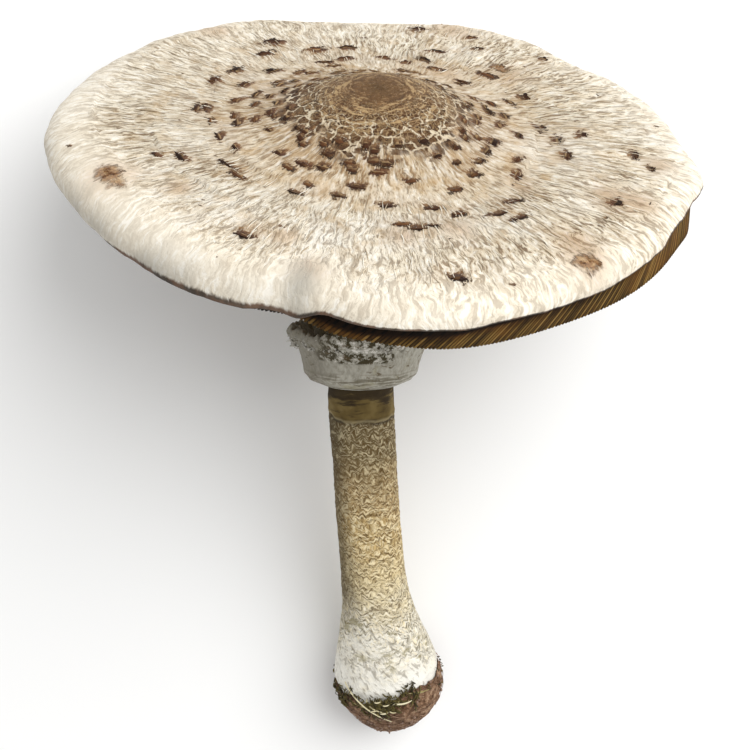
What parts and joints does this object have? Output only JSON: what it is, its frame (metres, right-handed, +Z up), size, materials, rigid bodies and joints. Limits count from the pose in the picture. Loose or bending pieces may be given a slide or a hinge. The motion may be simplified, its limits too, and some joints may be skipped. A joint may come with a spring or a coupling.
{
  "type": "parasol mushroom",
  "caption": "Picked parasol mushroom lying on its side: broad flat cap with a scaly brown umbo, free gills, thick collar-like ring, slender stem with a swollen, earthy base.",
  "frame": {"origin": "on the surface the mushroom lies on, under the middle of its box", "axes": "+Z up from the surface, +Y from the stem's base to the cap, +X to the right when the top of the cap faces the viewer from above"},
  "size_m": [0.1959, 0.2525, 0.1561],
  "materials": {
    "cap_skin": "dry, cream to beige, felted with fine radial fibres and raised brown scales",
    "gill_tissue": "soft, ochre-brown, crowded blades",
    "stem_skin": "matt, ochre with cream and brown zigzag bands, white at the base",
    "ring_wool": "cottony, grey-white with olive and brown specks, frayed edge",
    "earth": "crumbly reddish-brown earth with moss and straw"
  },
  "bodies": {
    "root": {"cap": "cap_skin", "gills": "gill_tissue", "stem": "stem_skin", "ring": "ring_wool", "soil": "earth"}
  },
  "joints": []
}
